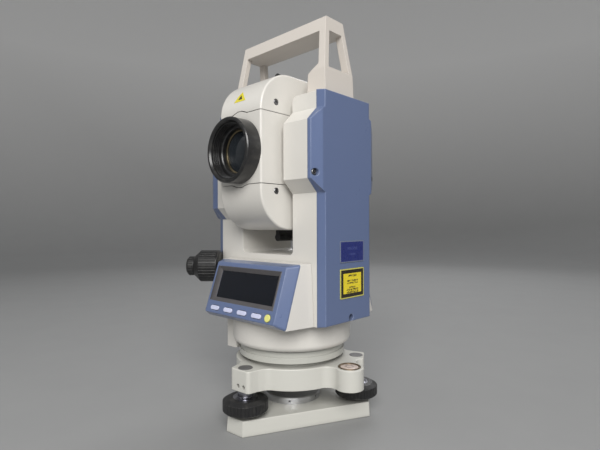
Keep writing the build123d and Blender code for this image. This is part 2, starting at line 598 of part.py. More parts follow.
for side, end in ((FRONT, "front"), (REAR, "rear")):
    back = panel_plane(side, -BEZEL_DEPTH)
    yoke_face = Plane(origin=(0, side * YOKE_Y, 0), x_dir=(-side, 0, 0), z_dir=(0, side, 0))
    outward = Axis(panel_plane(side).origin, panel_plane(side).z_dir)

    with BuildPart() as display_housing:
        for inset, mode in ((0, Mode.ADD), (HOUSING_WALL, Mode.SUBTRACT)):
            with BuildSketch(back) as outer_rim:
                with Locations((0, BEZEL_SHIFT)):
                    Rectangle(BEZEL_BACK_W - 2 * inset, BEZEL_BACK_H - 2 * inset)
            with BuildSketch(yoke_face) as inner_rim:
                Polygon((-55 + inset, YOKE_BOTTOM + inset), (55.8 - inset, YOKE_BOTTOM + inset),
                        (53.2 - inset, VIAL_Z - inset), (-50 + inset, VIAL_Z - inset), align=None)
            loft([inner_rim.sketch, outer_rim.sketch], ruled=True, mode=mode)
        add(knob_relief, mode=Mode.SUBTRACT)
    display_housing.part.label = f"display_housing_{end}"
    export_step(display_housing.part, f"parts/display_housing_{end}.step")

    with BuildPart() as display_bezel:
        with BuildSketch(back):
            with Locations((0, BEZEL_SHIFT)):
                RectangleRounded(BEZEL_BACK_W, BEZEL_BACK_H, 2)
        with BuildSketch(panel_plane(side)):
            RectangleRounded(PANEL_W, PANEL_H, 1.5)
        loft()
        with BuildSketch(back):
            Rectangle(PANEL_W, PANEL_H - 0.4)
        extrude(amount=BEZEL_DEPTH + PLATE_BACK, mode=Mode.SUBTRACT)
        with BuildSketch(panel_plane(side, PLATE_BACK)):
            with Locations((LCD_X, LCD_Y)):
                Rectangle(GLASS_W, GLASS_H)
        extrude(amount=-PLATE_BACK - RECESS_DEPTH, mode=Mode.SUBTRACT)
        with BuildSketch(panel_plane(side, -RECESS_DEPTH)):
            with Locations((LCD_X, LCD_Y)):
                Rectangle(LCD_W, LCD_H)
        with BuildSketch(panel_plane(side)):
            with Locations((LCD_X, LCD_Y)):
                Rectangle(RECESS_W, RECESS_H)
        loft(mode=Mode.SUBTRACT)
        with BuildSketch(panel_plane(side, PLATE_BACK)):
            with Locations(*[(x, KEY_Y) for x in KEY_XS]):
                SlotOverall(KEY_W + 2 * GAP, KEY_H + 2 * GAP)
            with Locations((POWER_X, KEY_Y)):
                Circle(POWER_R + GAP)
        extrude(amount=-PLATE_BACK, mode=Mode.SUBTRACT)
        add(knob_relief, mode=Mode.SUBTRACT)
    display_bezel.part.label = f"display_bezel_{end}"
    export_step(display_bezel.part, f"parts/display_bezel_{end}.step")

    with BuildPart() as lcd_window:
        with BuildSketch(panel_plane(side, PLATE_BACK)):
            with Locations((LCD_X, LCD_Y)):
                Rectangle(GLASS_W, GLASS_H)
        extrude(amount=-PLATE_BACK - RECESS_DEPTH)
    lcd_window.part.label = f"lcd_window_{end}"
    export_step(lcd_window.part, f"parts/lcd_window_{end}.step")

    for number, x in enumerate(KEY_XS, start=1):
        with BuildPart() as key:
            with BuildSketch(panel_plane(side, -8.0)):
                with Locations((x, KEY_Y)):
                    SlotOverall(KEY_W + 2, KEY_H + 2)
            extrude(amount=8.0 + PLATE_BACK - GAP)
            with BuildSketch(panel_plane(side, -8.0)):
                with Locations((x, KEY_Y)):
                    SlotOverall(KEY_W, KEY_H)
            extrude(amount=8.0 + KEY_OUT)
            fillet(key.faces().sort_by(outward)[-1].edges(), radius=0.5)
        key.part.label = f"soft_key_{end}_{number}"
        export_step(key.part, f"parts/soft_key_{end}_{number}.step")

    with BuildPart() as power_key:
        with BuildSketch(panel_plane(side, -8.0)):
            with Locations((POWER_X, KEY_Y)):
                Circle(POWER_R + 1)
        extrude(amount=8.0 + PLATE_BACK - GAP)
        with BuildSketch(panel_plane(side, -8.0)):
            with Locations((POWER_X, KEY_Y)):
                Circle(POWER_R)
        extrude(amount=8.0 + KEY_OUT)
        fillet(power_key.faces().sort_by(outward)[-1].edges(), radius=0.5)
    power_key.part.label = f"power_key_{end}"
    export_step(power_key.part, f"parts/power_key_{end}.step")

# ---- inside the yoke ----------------------------------------------------
with BuildPart() as main_board:
    with BuildSketch(Plane.YZ.offset(54)):
        with Locations((0, 152)):
            Rectangle(50, 100)
    extrude(amount=1.6)
    with BuildSketch(Plane.YZ.offset(54)):
        with Locations((-8, 130), (9, 160), (-6, 185)):
            Rectangle(16, 14)
    extrude(amount=-3)
main_board.part.label = "main_board"
export_step(main_board.part, "parts/main_board.step")

with BuildPart() as battery_pack:
    with BuildSketch(Plane.YZ.offset(-(YOKE_INNER + WALL + 0.4))):
        with Locations((3, 136)):
            RectangleRounded(46, 74, 3)
    extrude(amount=-18)
battery_pack.part.label = "battery_pack"
export_step(battery_pack.part, "parts/battery_pack.step")

VIAL_Y = 37.5

with BuildPart() as plate_vial:
    with BuildSketch(Plane.YZ.offset(-25)):
        Polygon((VIAL_Y - 5, VIAL_Z), (VIAL_Y + 4, VIAL_Z), (VIAL_Y + 4, VIAL_Z + 3.4), (VIAL_Y + 2, VIAL_Z + 6.4),
                (VIAL_Y - 3, VIAL_Z + 6.4), (VIAL_Y - 5, VIAL_Z + 3.4), align=None)
    extrude(amount=50)
    with BuildSketch(Plane.XY.offset(VIAL_Z + 6.4)):
        with Locations((0, VIAL_Y - 0.5)):
            SlotOverall(34, 4)
    extrude(amount=-1.6, mode=Mode.SUBTRACT)
plate_vial.part.label = "plate_vial"
export_step(plate_vial.part, "parts/plate_vial.step")

# ---- clamp and tangent knobs --------------------------------------------
BIG_L = 24.6
SMALL_R = 9.2
SMALL_L = 7.4
H_BIG_R = 13.0
H_SMALL_R = 8.4


def knob_section(radius, length, nose, start, bore, shaft_end):
    """Half-section of a knob with coned ends and a stem behind it."""
    return [(bore, shaft_end), (STEM_R, shaft_end), (STEM_R, start), (radius - 2, start), (radius, start + 2),
            (radius, start + length - 5.6), (nose, start + length), (bore, start + length)]


def turned_knob(origin, axis, profile, rib_radius, ribs, rib_span):
    """Revolved knob whose rim is cut by evenly spaced flutes."""
    with BuildPart(mode=Mode.PRIVATE) as knob:
        with BuildSketch(section(origin, axis)):
            Polygon(*profile, align=None)
        revolve(axis=Axis(origin, axis))
        with BuildSketch(Plane(origin=origin, z_dir=axis).offset(rib_span[0])):
            with PolarLocations(rib_radius, ribs):
                Circle(0.6)
        extrude(amount=rib_span[1] - rib_span[0], mode=Mode.SUBTRACT)
    return knob.part


def cap_section(radius, length, start):
    """Half-section of the small clamp knob on the end of a tangent knob."""
    return [(0, start - 9), (1.9, start - 9), (1.9, start), (radius, start), (radius, start + length - 2),
            (radius - 2, start + length), (0, start + length)]


HKNOB_BASE = (HSCREW[0], LUG_Y[1] + 6, HSCREW[1])
HKNOB_AXIS = (0, 1, 0)
knob_sets = (("vertical", VKNOB_BASE, VKNOB_AXIS, BIG_R, BIG_L, SMALL_R, SMALL_L, -11),
             ("horizontal", HKNOB_BASE, HKNOB_AXIS, H_BIG_R, 19.0, H_SMALL_R, 6.4, -20))
for name, origin, axis, big_r, big_l, small_r, small_l, stem_end in knob_sets:
    tangent_knob = turned_knob(origin, axis, knob_section(big_r, big_l, small_r + 0.6, 0, 2, stem_end),
                               big_r + 0.25, 32, (3, big_l - 4))
    tangent_knob.label = f"{name}_tangent_knob"
    export_step(tangent_knob, f"parts/{name}_tangent_knob.step")
    clamp_knob = turned_knob(origin, axis, cap_section(small_r, small_l, big_l + GAP),
                             small_r + 0.25, 20, (big_l + 1.5, big_l + small_l + 1))
    clamp_knob.label = f"{name}_clamp_knob"
    export_step(clamp_knob, f"parts/{name}_clamp_knob.step")

with BuildPart() as plummet_eyepiece:
    with BuildSketch(section((0, 0, PLUMMET_Z), (0, 1, 0))):
        Polygon((6 + FIT, 55.8), (8.4, 55.8), (8.4, 63.4), (7.4, 64.6), (4.4, 64.6), (3.6, 62.6), (0, 62.2),
                (0, PLUMMET_END + GAP), (6 + FIT, PLUMMET_END + GAP), align=None)
    revolve(axis=Axis((0, 0, PLUMMET_Z), (0, 1, 0)))
    with BuildSketch(Plane.XZ.offset(-57)):
        with Locations((0, PLUMMET_Z)):
            with PolarLocations(8.6, 20):
                Circle(0.5)
    extrude(amount=-6, mode=Mode.SUBTRACT)
plummet_eyepiece.part.label = "plummet_eyepiece"
export_step(plummet_eyepiece.part, "parts/plummet_eyepiece.step")

# ---- telescope ----------------------------------------------------------
SCOPE_AXIS = Axis((0, 0, TRUNNION_Z), (0, 1, 0))
SCOPE_PLANE = section((0, 0, TRUNNION_Z), (0, 1, 0))
SHELL = 2.4
EDGE_R = 1.6
LIP_FOOT = 9.5              # half-widths of a seam lip at the seam and at its top
LIP_TOP = 2.5
LIP_RISE = 2.2
LIP_DEPTH = 4.0


def scope_profile(inset):
    """Side view of the telescope: a rectangle with large round corners."""
    height = SCOPE_TOP - SCOPE_BOTTOM - 2 * inset
    with Locations((0, (SCOPE_TOP + SCOPE_BOTTOM) / 2)):
        RectangleRounded(2 * (SCOPE_Y - inset), height, SCOPE_ROUND - inset)


def scope_block(low, high):
    """Telescope shape between two heights, cut flat at the seams."""
    with BuildPart(mode=Mode.PRIVATE) as block:
        with BuildSketch(Plane.YZ):
            scope_profile(0)
        extrude(amount=SCOPE_X, both=True)
        fillet(block.faces().filter_by(Axis.X).edges(), radius=EDGE_R)
        with BuildSketch(Plane.XY.offset(low)):
            Rectangle(200, 200)
        extrude(amount=high - low, mode=Mode.INTERSECT)
    return block.part


def seam_lips(grow):
    """Wedges above and below the hood, where the front seams step away from it."""
    with BuildPart(mode=Mode.PRIVATE) as lips:
        add(scope_block(SEAM_LOW - 4, SEAM_HIGH + 4))
        with BuildSketch(Plane.XZ.offset(SCOPE_Y)):
            for seam, rise in ((SEAM_HIGH, LIP_RISE), (SEAM_LOW, -LIP_RISE)):
                away = math.copysign(grow, rise)
                Polygon((-LIP_FOOT - grow, seam - rise), (-LIP_FOOT - grow, seam + away),
                        (-LIP_TOP - grow, seam + rise + away), (LIP_TOP + grow, seam + rise + away),
                        (LIP_FOOT + grow, seam + away), (LIP_FOOT + grow, seam - rise), align=None)
        extrude(amount=-LIP_DEPTH, mode=Mode.INTERSECT)
    return lips.part


with BuildPart() as telescope_body:
    add(scope_block(SEAM_LOW, SEAM_HIGH))
    add(seam_lips(0))
    with BuildSketch(Plane.XZ):
        with Locations((0, TRUNNION_Z)):
            Circle(TUBE_R)
    extrude(amount=SCOPE_Y, both=True, mode=Mode.SUBTRACT)
    with BuildSketch(Plane.YZ):
        with Locations((0, TRUNNION_Z)):
            Circle(SHAFT_R)
    extrude(amount=SCOPE_X, both=True, mode=Mode.SUBTRACT)
telescope_body.part.label = "telescope_body"
export_step(telescope_body.part, "parts/telescope_body.step")

for name, low, high in (("telescope_top_cover", SEAM_HIGH + SEAM, SCOPE_TOP),
                        ("telescope_bottom_cover", SCOPE_BOTTOM, SEAM_LOW - SEAM)):
    with BuildPart() as shell:
        add(scope_block(low, high))
        with BuildSketch(Plane.YZ):
            scope_profile(SHELL)
        extrude(amount=SCOPE_X - SHELL, both=True, mode=Mode.SUBTRACT)
        add(seam_lips(SEAM), mode=Mode.SUBTRACT)
        for side in (RIGHT, LEFT):
            for y in (-44.5, 44.5):
                screw_z = 270.9 if high == SCOPE_TOP else 197.9
                with BuildSketch(Plane.YZ.offset(side * SCOPE_X)):
                    with Locations((y, screw_z)):
                        Circle(2.7)
                extrude(amount=-side * 1.5, mode=Mode.SUBTRACT)
                with BuildSketch(Plane.YZ.offset(side * SCOPE_X)):
                    with Locations((y, screw_z)):
                        Circle(SCREW_R)
                extrude(amount=-side * 6, mode=Mode.SUBTRACT)
    shell.part.label = name
    export_step(shell.part, f"parts/{name}.step")

telescope_screws = Compound(children=[pan_screw((side * (SCOPE_X - 1.5), y, z), (side, 0, 0), 5)
                                      for side in (RIGHT, LEFT) for y in (-44.5, 44.5) for z in (270.9, 197.9)])
telescope_screws.label = "telescope_screws"
export_step(telescope_screws, "parts/telescope_screws.step")

TUBE_BORE = 18.9
NECK = 12.0
FOCUS_END = 72.8
EYE_END = 84.4

with BuildPart() as optical_tube:
    with BuildSketch(SCOPE_PLANE):
        Polygon((TUBE_BORE, -SCOPE_Y + 0.4), (TUBE_R - 0.05, -SCOPE_Y + 0.4), (TUBE_R - 0.05, SCOPE_Y),
                (NECK, SCOPE_Y), (NECK, 79), (8.5, 79), (8.5, SCOPE_Y - 3), (TUBE_BORE, SCOPE_Y - 3), align=None)
    revolve(axis=SCOPE_AXIS)
optical_tube.part.label = "optical_tube"
export_step(optical_tube.part, "parts/optical_tube.step")

with BuildPart() as objective_hood:
    with BuildSketch(SCOPE_PLANE):
        Polygon((18.2, -SCOPE_Y), (HOOD_R, -SCOPE_Y), (HOOD_R, -HOOD_FRONT + 1), (HOOD_R - 0.8, -HOOD_FRONT),
                (HOOD_R - 2.6, -HOOD_FRONT), (HOOD_R - 3.8, -HOOD_FRONT + 1.6), (22, -66.4), (19, -66.0),
                (18.2, -65.2), align=None)
    revolve(axis=SCOPE_AXIS)
objective_hood.part.label = "objective_hood"
export_step(objective_hood.part, "parts/objective_hood.step")

with BuildPart() as objective_lens:
    with BuildSketch(SCOPE_PLANE):
        with BuildLine():
            ThreePointArc((0, -62.6), (9, -61.9), (17.6, -59.8))
            Polyline((17.6, -59.8), (TUBE_BORE, -59.8), (TUBE_BORE, -54), (0, -54), (0, -62.6))
        make_face()
    revolve(axis=SCOPE_AXIS)
objective_lens.part.label = "objective_lens"
export_step(objective_lens.part, "parts/objective_lens.step")

with BuildPart() as focusing_cell:
    with BuildSketch(SCOPE_PLANE):
        Polygon((0, 24), (12, 24), (12, 18), (TUBE_BORE - GAP, 18), (TUBE_BORE - GAP, 30), (12, 30), (12, 27.5),
                (0, 26.5), align=None)
    revolve(axis=SCOPE_AXIS)
focusing_cell.part.label = "focusing_cell"
export_step(focusing_cell.part, "parts/focusing_cell.step")


def fluted_ring(inner, outer, start, end, flutes):
    """Ring round the telescope axis with flutes along its rim."""
    with BuildPart(mode=Mode.PRIVATE) as ring:
        with BuildSketch(SCOPE_PLANE):
            Polygon((inner, start), (outer - 0.8, start), (outer, start + 0.8), (outer, end - 0.8),
                    (outer - 0.8, end), (inner, end), align=None)
        revolve(axis=SCOPE_AXIS)
        with BuildSketch(Plane.XZ.offset(-start - 1.6)):
            with Locations((0, TRUNNION_Z)):
                with PolarLocations(outer + 0.35, flutes):
                    Circle(0.8)
        extrude(amount=-(end - start - 3.2), mode=Mode.SUBTRACT)
    return ring.part


focus_ring = fluted_ring(NECK + FIT, 21.0, SCOPE_Y + GAP, FOCUS_END, 40)
focus_ring.label = "focus_ring"
export_step(focus_ring, "parts/focus_ring.step")

with BuildPart() as eyepiece_ring:
    add(fluted_ring(NECK + FIT, 15.2, FOCUS_END + GAP, 80.0, 28))
    with BuildSketch(SCOPE_PLANE):
        Polygon((0, 79.4), (NECK + FIT, 79.4), (NECK + FIT, 80), (12.8, 80), (11.2, EYE_END), (7.2, EYE_END),
                (5.6, 81.6), (0, 81.2), align=None)
    revolve(axis=SCOPE_AXIS)
eyepiece_ring.part.label = "eyepiece_ring"
export_step(eyepiece_ring.part, "parts/eyepiece_ring.step")

SIGHT_OFFSET = 72.5
SIGHT_Y = 18.0

with BuildPart() as peep_sights:
    for way, face in ((1, SCOPE_TOP), (-1, SCOPE_BOTTOM)):
        sight_z = TRUNNION_Z + way * SIGHT_OFFSET
        with BuildSketch(Plane.XZ.offset(-SIGHT_Y)):
            with Locations((0, sight_z)):
                Circle(SIGHT_R)
            with Locations((0, (sight_z + face) / 2)):
                Rectangle(4.4, abs(sight_z - face))
        extrude(amount=2 * SIGHT_Y)
        with BuildSketch(Plane.XZ.offset(-SIGHT_Y)):
            with Locations((0, sight_z)):
                Circle(1.5)
        extrude(amount=5, mode=Mode.SUBTRACT)
peep_sights.part.label = "peep_sights"
export_step(peep_sights.part, "parts/peep_sights.step")

with BuildPart() as trunnion_shafts:
    with BuildSketch(section((0, 0, TRUNNION_Z), (1, 0, 0))):
        for side in (RIGHT, LEFT):
            Polygon((0, side * 21.4), (SHAFT_R, side * 21.4), (SHAFT_R, side * SCOPE_X), (17, side * SCOPE_X),
                    (17, side * (YOKE_INNER - 0.8)), (SHAFT_R, side * (YOKE_INNER - 0.8)), (SHAFT_R, side * 46),
                    (0, side * 46), align=None)
    revolve(axis=Axis((0, 0, TRUNNION_Z), (1, 0, 0)))
trunnion_shafts.part.label = "trunnion_shafts"
export_step(trunnion_shafts.part, "parts/trunnion_shafts.step")

with BuildPart() as vertical_circle:
    with BuildSketch(Plane.YZ.offset(-43)):
        with Locations((0, TRUNNION_Z)):
            Circle(32)
            Circle(SHAFT_R, mode=Mode.SUBTRACT)
    extrude(amount=2)
vertical_circle.part.label = "vertical_circle"
export_step(vertical_circle.part, "parts/vertical_circle.step")

with BuildPart() as edm_module:
    with BuildSketch(Plane.XY.offset(174)):
        RectangleRounded(40, 56, 2)
    extrude(amount=28)
edm_module.part.label = "edm_module"
export_step(edm_module.part, "parts/edm_module.step")
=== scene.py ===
"""Looks for the surveying total station: materials, small parts, camera and lights."""
import json
import math

import bmesh
import bpy
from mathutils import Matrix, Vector


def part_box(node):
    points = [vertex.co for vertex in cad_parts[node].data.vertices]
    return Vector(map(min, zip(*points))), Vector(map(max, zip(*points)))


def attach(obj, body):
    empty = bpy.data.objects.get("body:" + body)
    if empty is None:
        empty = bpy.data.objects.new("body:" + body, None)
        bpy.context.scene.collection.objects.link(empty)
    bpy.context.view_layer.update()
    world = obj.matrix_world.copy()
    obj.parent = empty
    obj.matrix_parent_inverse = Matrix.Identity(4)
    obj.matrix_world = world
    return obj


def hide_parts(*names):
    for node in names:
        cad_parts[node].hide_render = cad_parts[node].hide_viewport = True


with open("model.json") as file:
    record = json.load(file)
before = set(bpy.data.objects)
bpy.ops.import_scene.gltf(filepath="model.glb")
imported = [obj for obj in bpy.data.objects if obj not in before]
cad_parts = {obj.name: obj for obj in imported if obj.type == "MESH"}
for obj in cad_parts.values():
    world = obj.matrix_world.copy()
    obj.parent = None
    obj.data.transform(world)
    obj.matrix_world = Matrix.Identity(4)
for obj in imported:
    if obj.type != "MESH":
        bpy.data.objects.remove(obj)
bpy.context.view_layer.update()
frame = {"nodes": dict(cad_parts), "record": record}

NODES = frame["nodes"]
SLOT_OF = {part["node"]: part["material_slot"] for part in frame["record"]["subparts"]}

MM = 0.001


# ---- materials ----------------------------------------------------------
def srgb(red, green, blue):
    """Linear colour from display values of 0 to 255."""
    def linear(value):
        value /= 255
        return value / 12.92 if value <= 0.04045 else ((value + 0.055) / 1.055) ** 2.4
    return (linear(red), linear(green), linear(blue), 1.0)


def scaled(colour, factor):
    """The colour made lighter or darker."""
    return (*(min(1.0, channel * factor) for channel in colour[:3]), 1.0)


class Shader:
    """A Principled material whose inputs are built from short node calls."""

    def __init__(self, name):
        self.material = bpy.data.materials.new(name)
        self.material.use_nodes = True
        self.tree = self.material.node_tree
        self.tree.nodes.clear()
        output = self.tree.nodes.new("ShaderNodeOutputMaterial")
        self.bsdf = self.tree.nodes.new("ShaderNodeBsdfPrincipled")
        self.tree.links.new(self.bsdf.outputs["BSDF"], output.inputs["Surface"])
        self.place = self.tree.nodes.new("ShaderNodeTexCoord").outputs["Object"]

    def put(self, socket, value):
        """Links the socket or sets its value."""
        if isinstance(value, bpy.types.NodeSocket):
            self.tree.links.new(value, socket)
        else:
            socket.default_value = value

    def set(self, **inputs):
        """Sets the shader's own inputs, with underscores for spaces."""
        for name, value in inputs.items():
            self.put(self.bsdf.inputs[name.replace("_", " ")], value)

    def node(self, kind, output, inputs, **settings):
        """Adds a node and returns one of its outputs."""
        made = self.tree.nodes.new(kind)
        for name, value in settings.items():
            setattr(made, name, value)
        for name, value in inputs.items():
            self.put(made.inputs[name], value)
        return made.outputs[output]

    def noise(self, scale, detail=3.0, roughness=0.55, stretch=None):
        """Noise of about 1 / scale metres across, stretched along an axis if asked."""
        place = self.place
        if stretch:
            place = self.node("ShaderNodeMapping", "Vector", {"Vector": place, "Scale": stretch})
        return self.node("ShaderNodeTexNoise", "Fac",
                         {"Vector": place, "Scale": scale, "Detail": detail, "Roughness": roughness})

    def fit(self, value, low, high, to_low=0.0, to_high=1.0):
        """Value moved from one range to another and held inside it."""
        return self.node("ShaderNodeMapRange", "Result",
                         {"Value": value, "From Min": low, "From Max": high, "To Min": to_low, "To Max": to_high})

    def maths(self, operation, first, second=0.0):
        """One arithmetic step."""
        return self.node("ShaderNodeMath", 0, {0: first, 1: second}, operation=operation)

    def mix(self, factor, first, second):
        """Colour between two colours."""
        return self.node("ShaderNodeMix", 2, {0: factor, 6: first, 7: second}, data_type="RGBA")

    def bump(self, height, distance, strength=1.0, normal=None):
        """Normal that follows a height."""
        inputs = {"Height": height, "Distance": distance, "Strength": strength}
        if normal is not None:
            inputs["Normal"] = normal
        return self.node("ShaderNodeBump", "Normal", inputs)

    def rounded(self, radius):
        """Normal that rounds sharp edges, and how close a point is to one."""
        normal = self.node("ShaderNodeBevel", "Normal", {"Radius": radius}, samples=6)
        true_normal = self.node("ShaderNodeNewGeometry", "Normal", {})
        facing = self.node("ShaderNodeVectorMath", "Value", {0: normal, 1: true_normal}, operation="DOT_PRODUCT")
        return normal, self.fit(facing, 0.97, 0.75)

    def crevice(self, distance):
        """1 deep in a corner, 0 in the open; the mask for painted shade in corners."""
        open_part = self.node("ShaderNodeAmbientOcclusion", "AO", {"Distance": distance}, samples=6)
        return self.fit(open_part, 0.75, 0.30)

    def axes(self):
        """The three object coordinates."""
        split = self.tree.nodes.new("ShaderNodeSeparateXYZ")
        self.tree.links.new(self.place, split.inputs[0])
        return split.outputs

    def band(self, value, centre, half):
        """1 where value is within half of centre."""
        away = self.maths("ABSOLUTE", self.maths("SUBTRACT", value, centre))
        return self.maths("LESS_THAN", away, half)

    def patch(self, across, up, centre, half):
        """1 inside a rectangle on two coordinates."""
        return self.maths("MULTIPLY", self.band(across, centre[0], half[0]), self.band(up, centre[1], half[1]))


def enamel(name, colour, roughness=0.33, edge=None, edge_radius=0.0007, orange_peel=0.00002, crevice_shade=0.35,
           mottle=0.02, coat=0.25, second=None):
    """Sprayed paint: slight mottling, edges lightened partly as wear and partly as a painted highlight, painted
    shade in the corners and a fine orange-peel skin.

    second is another colour and a function that gives the region painted with it.
    """
    shader = Shader(name)
    normal, near_edge = shader.rounded(edge_radius)
    cloud = shader.noise(22, 4)
    fleck = shader.noise(260, 4, 0.7)
    base = shader.mix(cloud, scaled(colour, 1 - mottle), scaled(colour, 1 + mottle))
    if second:
        base = shader.mix(second[1](shader), base, second[0])
    base = shader.mix(shader.fit(fleck, 0.64, 0.82, 0.0, 0.10), base, scaled(colour, 0.75))
    # Lighter colour at the edges: partly paint wear, partly a painted highlight.
    wear_and_highlight = shader.maths("MULTIPLY", near_edge, shader.fit(fleck, 0.25, 0.60))
    base = shader.mix(shader.maths("MULTIPLY", wear_and_highlight, 0.6), base, edge or scaled(colour, 1.25))
    # Painted shade: corners and crevices, found by ambient occlusion, are darkened towards a dark brown.
    dust_and_shade = shader.maths("MULTIPLY", shader.crevice(0.006), crevice_shade)
    base = shader.mix(dust_and_shade, base, (0.10, 0.095, 0.085, 1))
    scuff = shader.fit(shader.noise(70, 5, 0.7), 0.30, 0.75, roughness * 0.9, roughness * 1.2)
    skin = shader.bump(shader.noise(900, 2), orange_peel, 0.5, normal)
    shader.set(Base_Color=base, Roughness=scuff, Normal=skin, Coat_Weight=coat, Coat_Roughness=0.18)
    return shader.material


def moulded(name, colour, roughness=0.42, grain=0.00003, grain_scale=1500, edge=None, crevice_shade=0.3, coat=0.0):
    """Moulded plastic or rubber with a fine spark-eroded grain, random dust, painted highlights along the edges
    and painted shade in the crevices.
    """
    shader = Shader(name)
    normal, near_edge = shader.rounded(0.0005)
    cloud = shader.noise(40, 3)
    base = shader.mix(cloud, scaled(colour, 0.85), scaled(colour, 1.15))
    # Painted highlight: the edges are lightened.
    base = shader.mix(shader.maths("MULTIPLY", near_edge, 0.55), base, edge or scaled(colour, 2.2))
    dust_and_shade = shader.maths("MULTIPLY", shader.fit(shader.noise(150, 5, 0.7), 0.50, 0.78), 0.16)
    base = shader.mix(dust_and_shade, base, (0.22, 0.21, 0.19, 1))
    # Painted shade: corners and crevices, found by ambient occlusion, are darkened to a darker copy of the
    # colour.
    base = shader.mix(shader.maths("MULTIPLY", shader.crevice(0.003), crevice_shade), base, scaled(colour, 0.3))
    rough = shader.fit(shader.noise(95, 4), 0.3, 0.7, roughness * 0.85, roughness * 1.2)
    skin = shader.bump(shader.noise(grain_scale, 2, 0.6), grain, 0.6, normal)
    shader.set(Base_Color=base, Roughness=rough, Normal=skin, Coat_Weight=coat, Coat_Roughness=0.25)
    return shader.material


def metal(name, colour, roughness=0.28, stretch=(1.0, 1.0, 40.0), tarnish=0.25):
    """Turned or ground metal: fine tool marks across the stretched axis, dull patches and a painted highlight
    along the edges.
    """
    shader = Shader(name)
    normal, near_edge = shader.rounded(0.0004)
    marks = shader.noise(90, 3, 0.6, stretch)
    dull = shader.fit(shader.noise(60, 5, 0.65), 0.40, 0.75, 0.0, tarnish)
    base = shader.mix(marks, scaled(colour, 0.82), scaled(colour, 1.12))
    base = shader.mix(dull, base, scaled(colour, 0.45))
    # Painted highlight: the edges are lightened.
    base = shader.mix(shader.maths("MULTIPLY", near_edge, 0.4), base, scaled(colour, 1.4))
    rough = shader.fit(marks, 0.25, 0.75, roughness * 0.75, roughness * 1.35)
    skin = shader.bump(marks, 0.00002, 0.5, normal)
    shader.set(Base_Color=base, Roughness=rough, Normal=skin, Metallic=1.0)
    return shader.material


def foot_screw_finish(name, neck_z):
    """Black ribbed knob with a dark metal neck above one height."""
    shader = Shader(name)
    normal, near_edge = shader.rounded(0.0005)
    height = shader.axes()[2]
    is_neck = shader.maths("GREATER_THAN", height, neck_z)
    knob = shader.mix(shader.noise(60, 4), srgb(24, 24, 25), srgb(36, 36, 37))
    # Painted highlight: the knob's edges are lightened to grey.
    knob = shader.mix(shader.maths("MULTIPLY", near_edge, 0.5), knob, srgb(84, 84, 86))
    knob = shader.mix(shader.fit(shader.noise(170, 5, 0.7), 0.52, 0.80, 0.0, 0.2), knob, srgb(128, 124, 116))
    neck = shader.mix(shader.noise(120, 3, 0.6, (1, 1, 30)), srgb(120, 120, 128), srgb(178, 178, 186))
    rough = shader.mix(is_neck, (0.42, 0.42, 0.42, 1), (0.24, 0.24, 0.24, 1))
    skin = shader.bump(shader.noise(1300, 2), 0.00003, 0.5, normal)
    shader.set(Base_Color=shader.mix(is_neck, knob, neck), Roughness=rough, Metallic=is_neck, Normal=skin)
    return shader.material


def label_finish(name, node, field, rim, border, bars, ink):
    """Printed plate on the +X side: a rim, an inner border line and broken bars in place of text."""
    low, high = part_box(node)
    middle = ((low.y + high.y) / 2, (low.z + high.z) / 2)
    half = ((high.y - low.y) / 2, (high.z - low.z) / 2)
    shader = Shader(name)
    normal, near_edge = shader.rounded(0.0003)
    across, up = shader.axes()[1:3]
    colour = shader.mix(shader.patch(across, up, middle, (half[0] - rim, half[1] - rim)), border[0], border[1])
    inner = (half[0] - rim - border[2], half[1] - rim - border[2])
    print_wear = shader.fit(shader.noise(420, 4), 0.30, 0.70)
    paper = shader.mix(print_wear, scaled(field, 0.93), scaled(field, 1.05))
    colour = shader.mix(shader.patch(across, up, middle, inner), colour, paper)
    words = shader.fit(shader.noise(800, 2, 0.5), 0.42, 0.50)
    for height, width, thickness in bars:
        centre = (middle[0], middle[1] + height * half[1])
        bar = shader.patch(across, up, centre, (width * half[0], thickness))
        colour = shader.mix(shader.maths("MULTIPLY", bar, words), colour, ink)
    rough = shader.fit(shader.noise(140, 4), 0.3, 0.7, 0.22, 0.38)
    shader.set(Base_Color=colour, Roughness=rough, Normal=shader.bump(shader.noise(700, 2), 0.00001, 0.4, normal),
               Coat_Weight=0.4, Coat_Roughness=0.12)
    return shader.material


def glass_window(name, colour, roughness=0.06, rim_highlight=None):
    """Dark glossy window with faint smears and a painted highlight round its edges."""
    shader = Shader(name)
    normal, near_edge = shader.rounded(0.0004)
    smear = shader.fit(shader.noise(28, 5, 0.7, (1.0, 2.5, 1.0)), 0.45, 0.80)
    base = shader.mix(smear, colour, scaled(colour, 1.5))
    # Painted highlight: the window's edges are lightened.
    base = shader.mix(shader.maths("MULTIPLY", near_edge, 0.5), base, rim_highlight or scaled(colour, 4))
    rough = shader.fit(smear, 0.0, 1.0, roughness, roughness + 0.10)
    shader.set(Base_Color=base, Roughness=rough, Normal=normal, Coat_Weight=0.3, Coat_Roughness=0.05)
    shader.bsdf.inputs["Specular IOR Level"].default_value = 0.3
    return shader.material


def coated_lens(name):
    """Objective glass: dark, with a painted blue-grey sheen of its coating that grows towards the rim as the
    surface turns away from the view.
    """
    shader = Shader(name)
    # Painted sheen: the colour turns lighter blue-grey where the surface faces away from the view.
    facing = shader.node("ShaderNodeLayerWeight", "Facing", {"Blend": 0.35})
    base = shader.mix(facing, srgb(20, 22, 24), srgb(70, 78, 86))
    dust_and_shade = shader.fit(shader.noise(500, 5, 0.75), 0.60, 0.78, 0.0, 0.25)
    base = shader.mix(dust_and_shade, base, srgb(140, 140, 138))
    shader.set(Base_Color=base, Roughness=shader.fit(shader.noise(90, 4), 0.3, 0.7, 0.14, 0.26), Metallic=0.25,
               Coat_Weight=0.4, Coat_Roughness=0.06)
    return shader.material


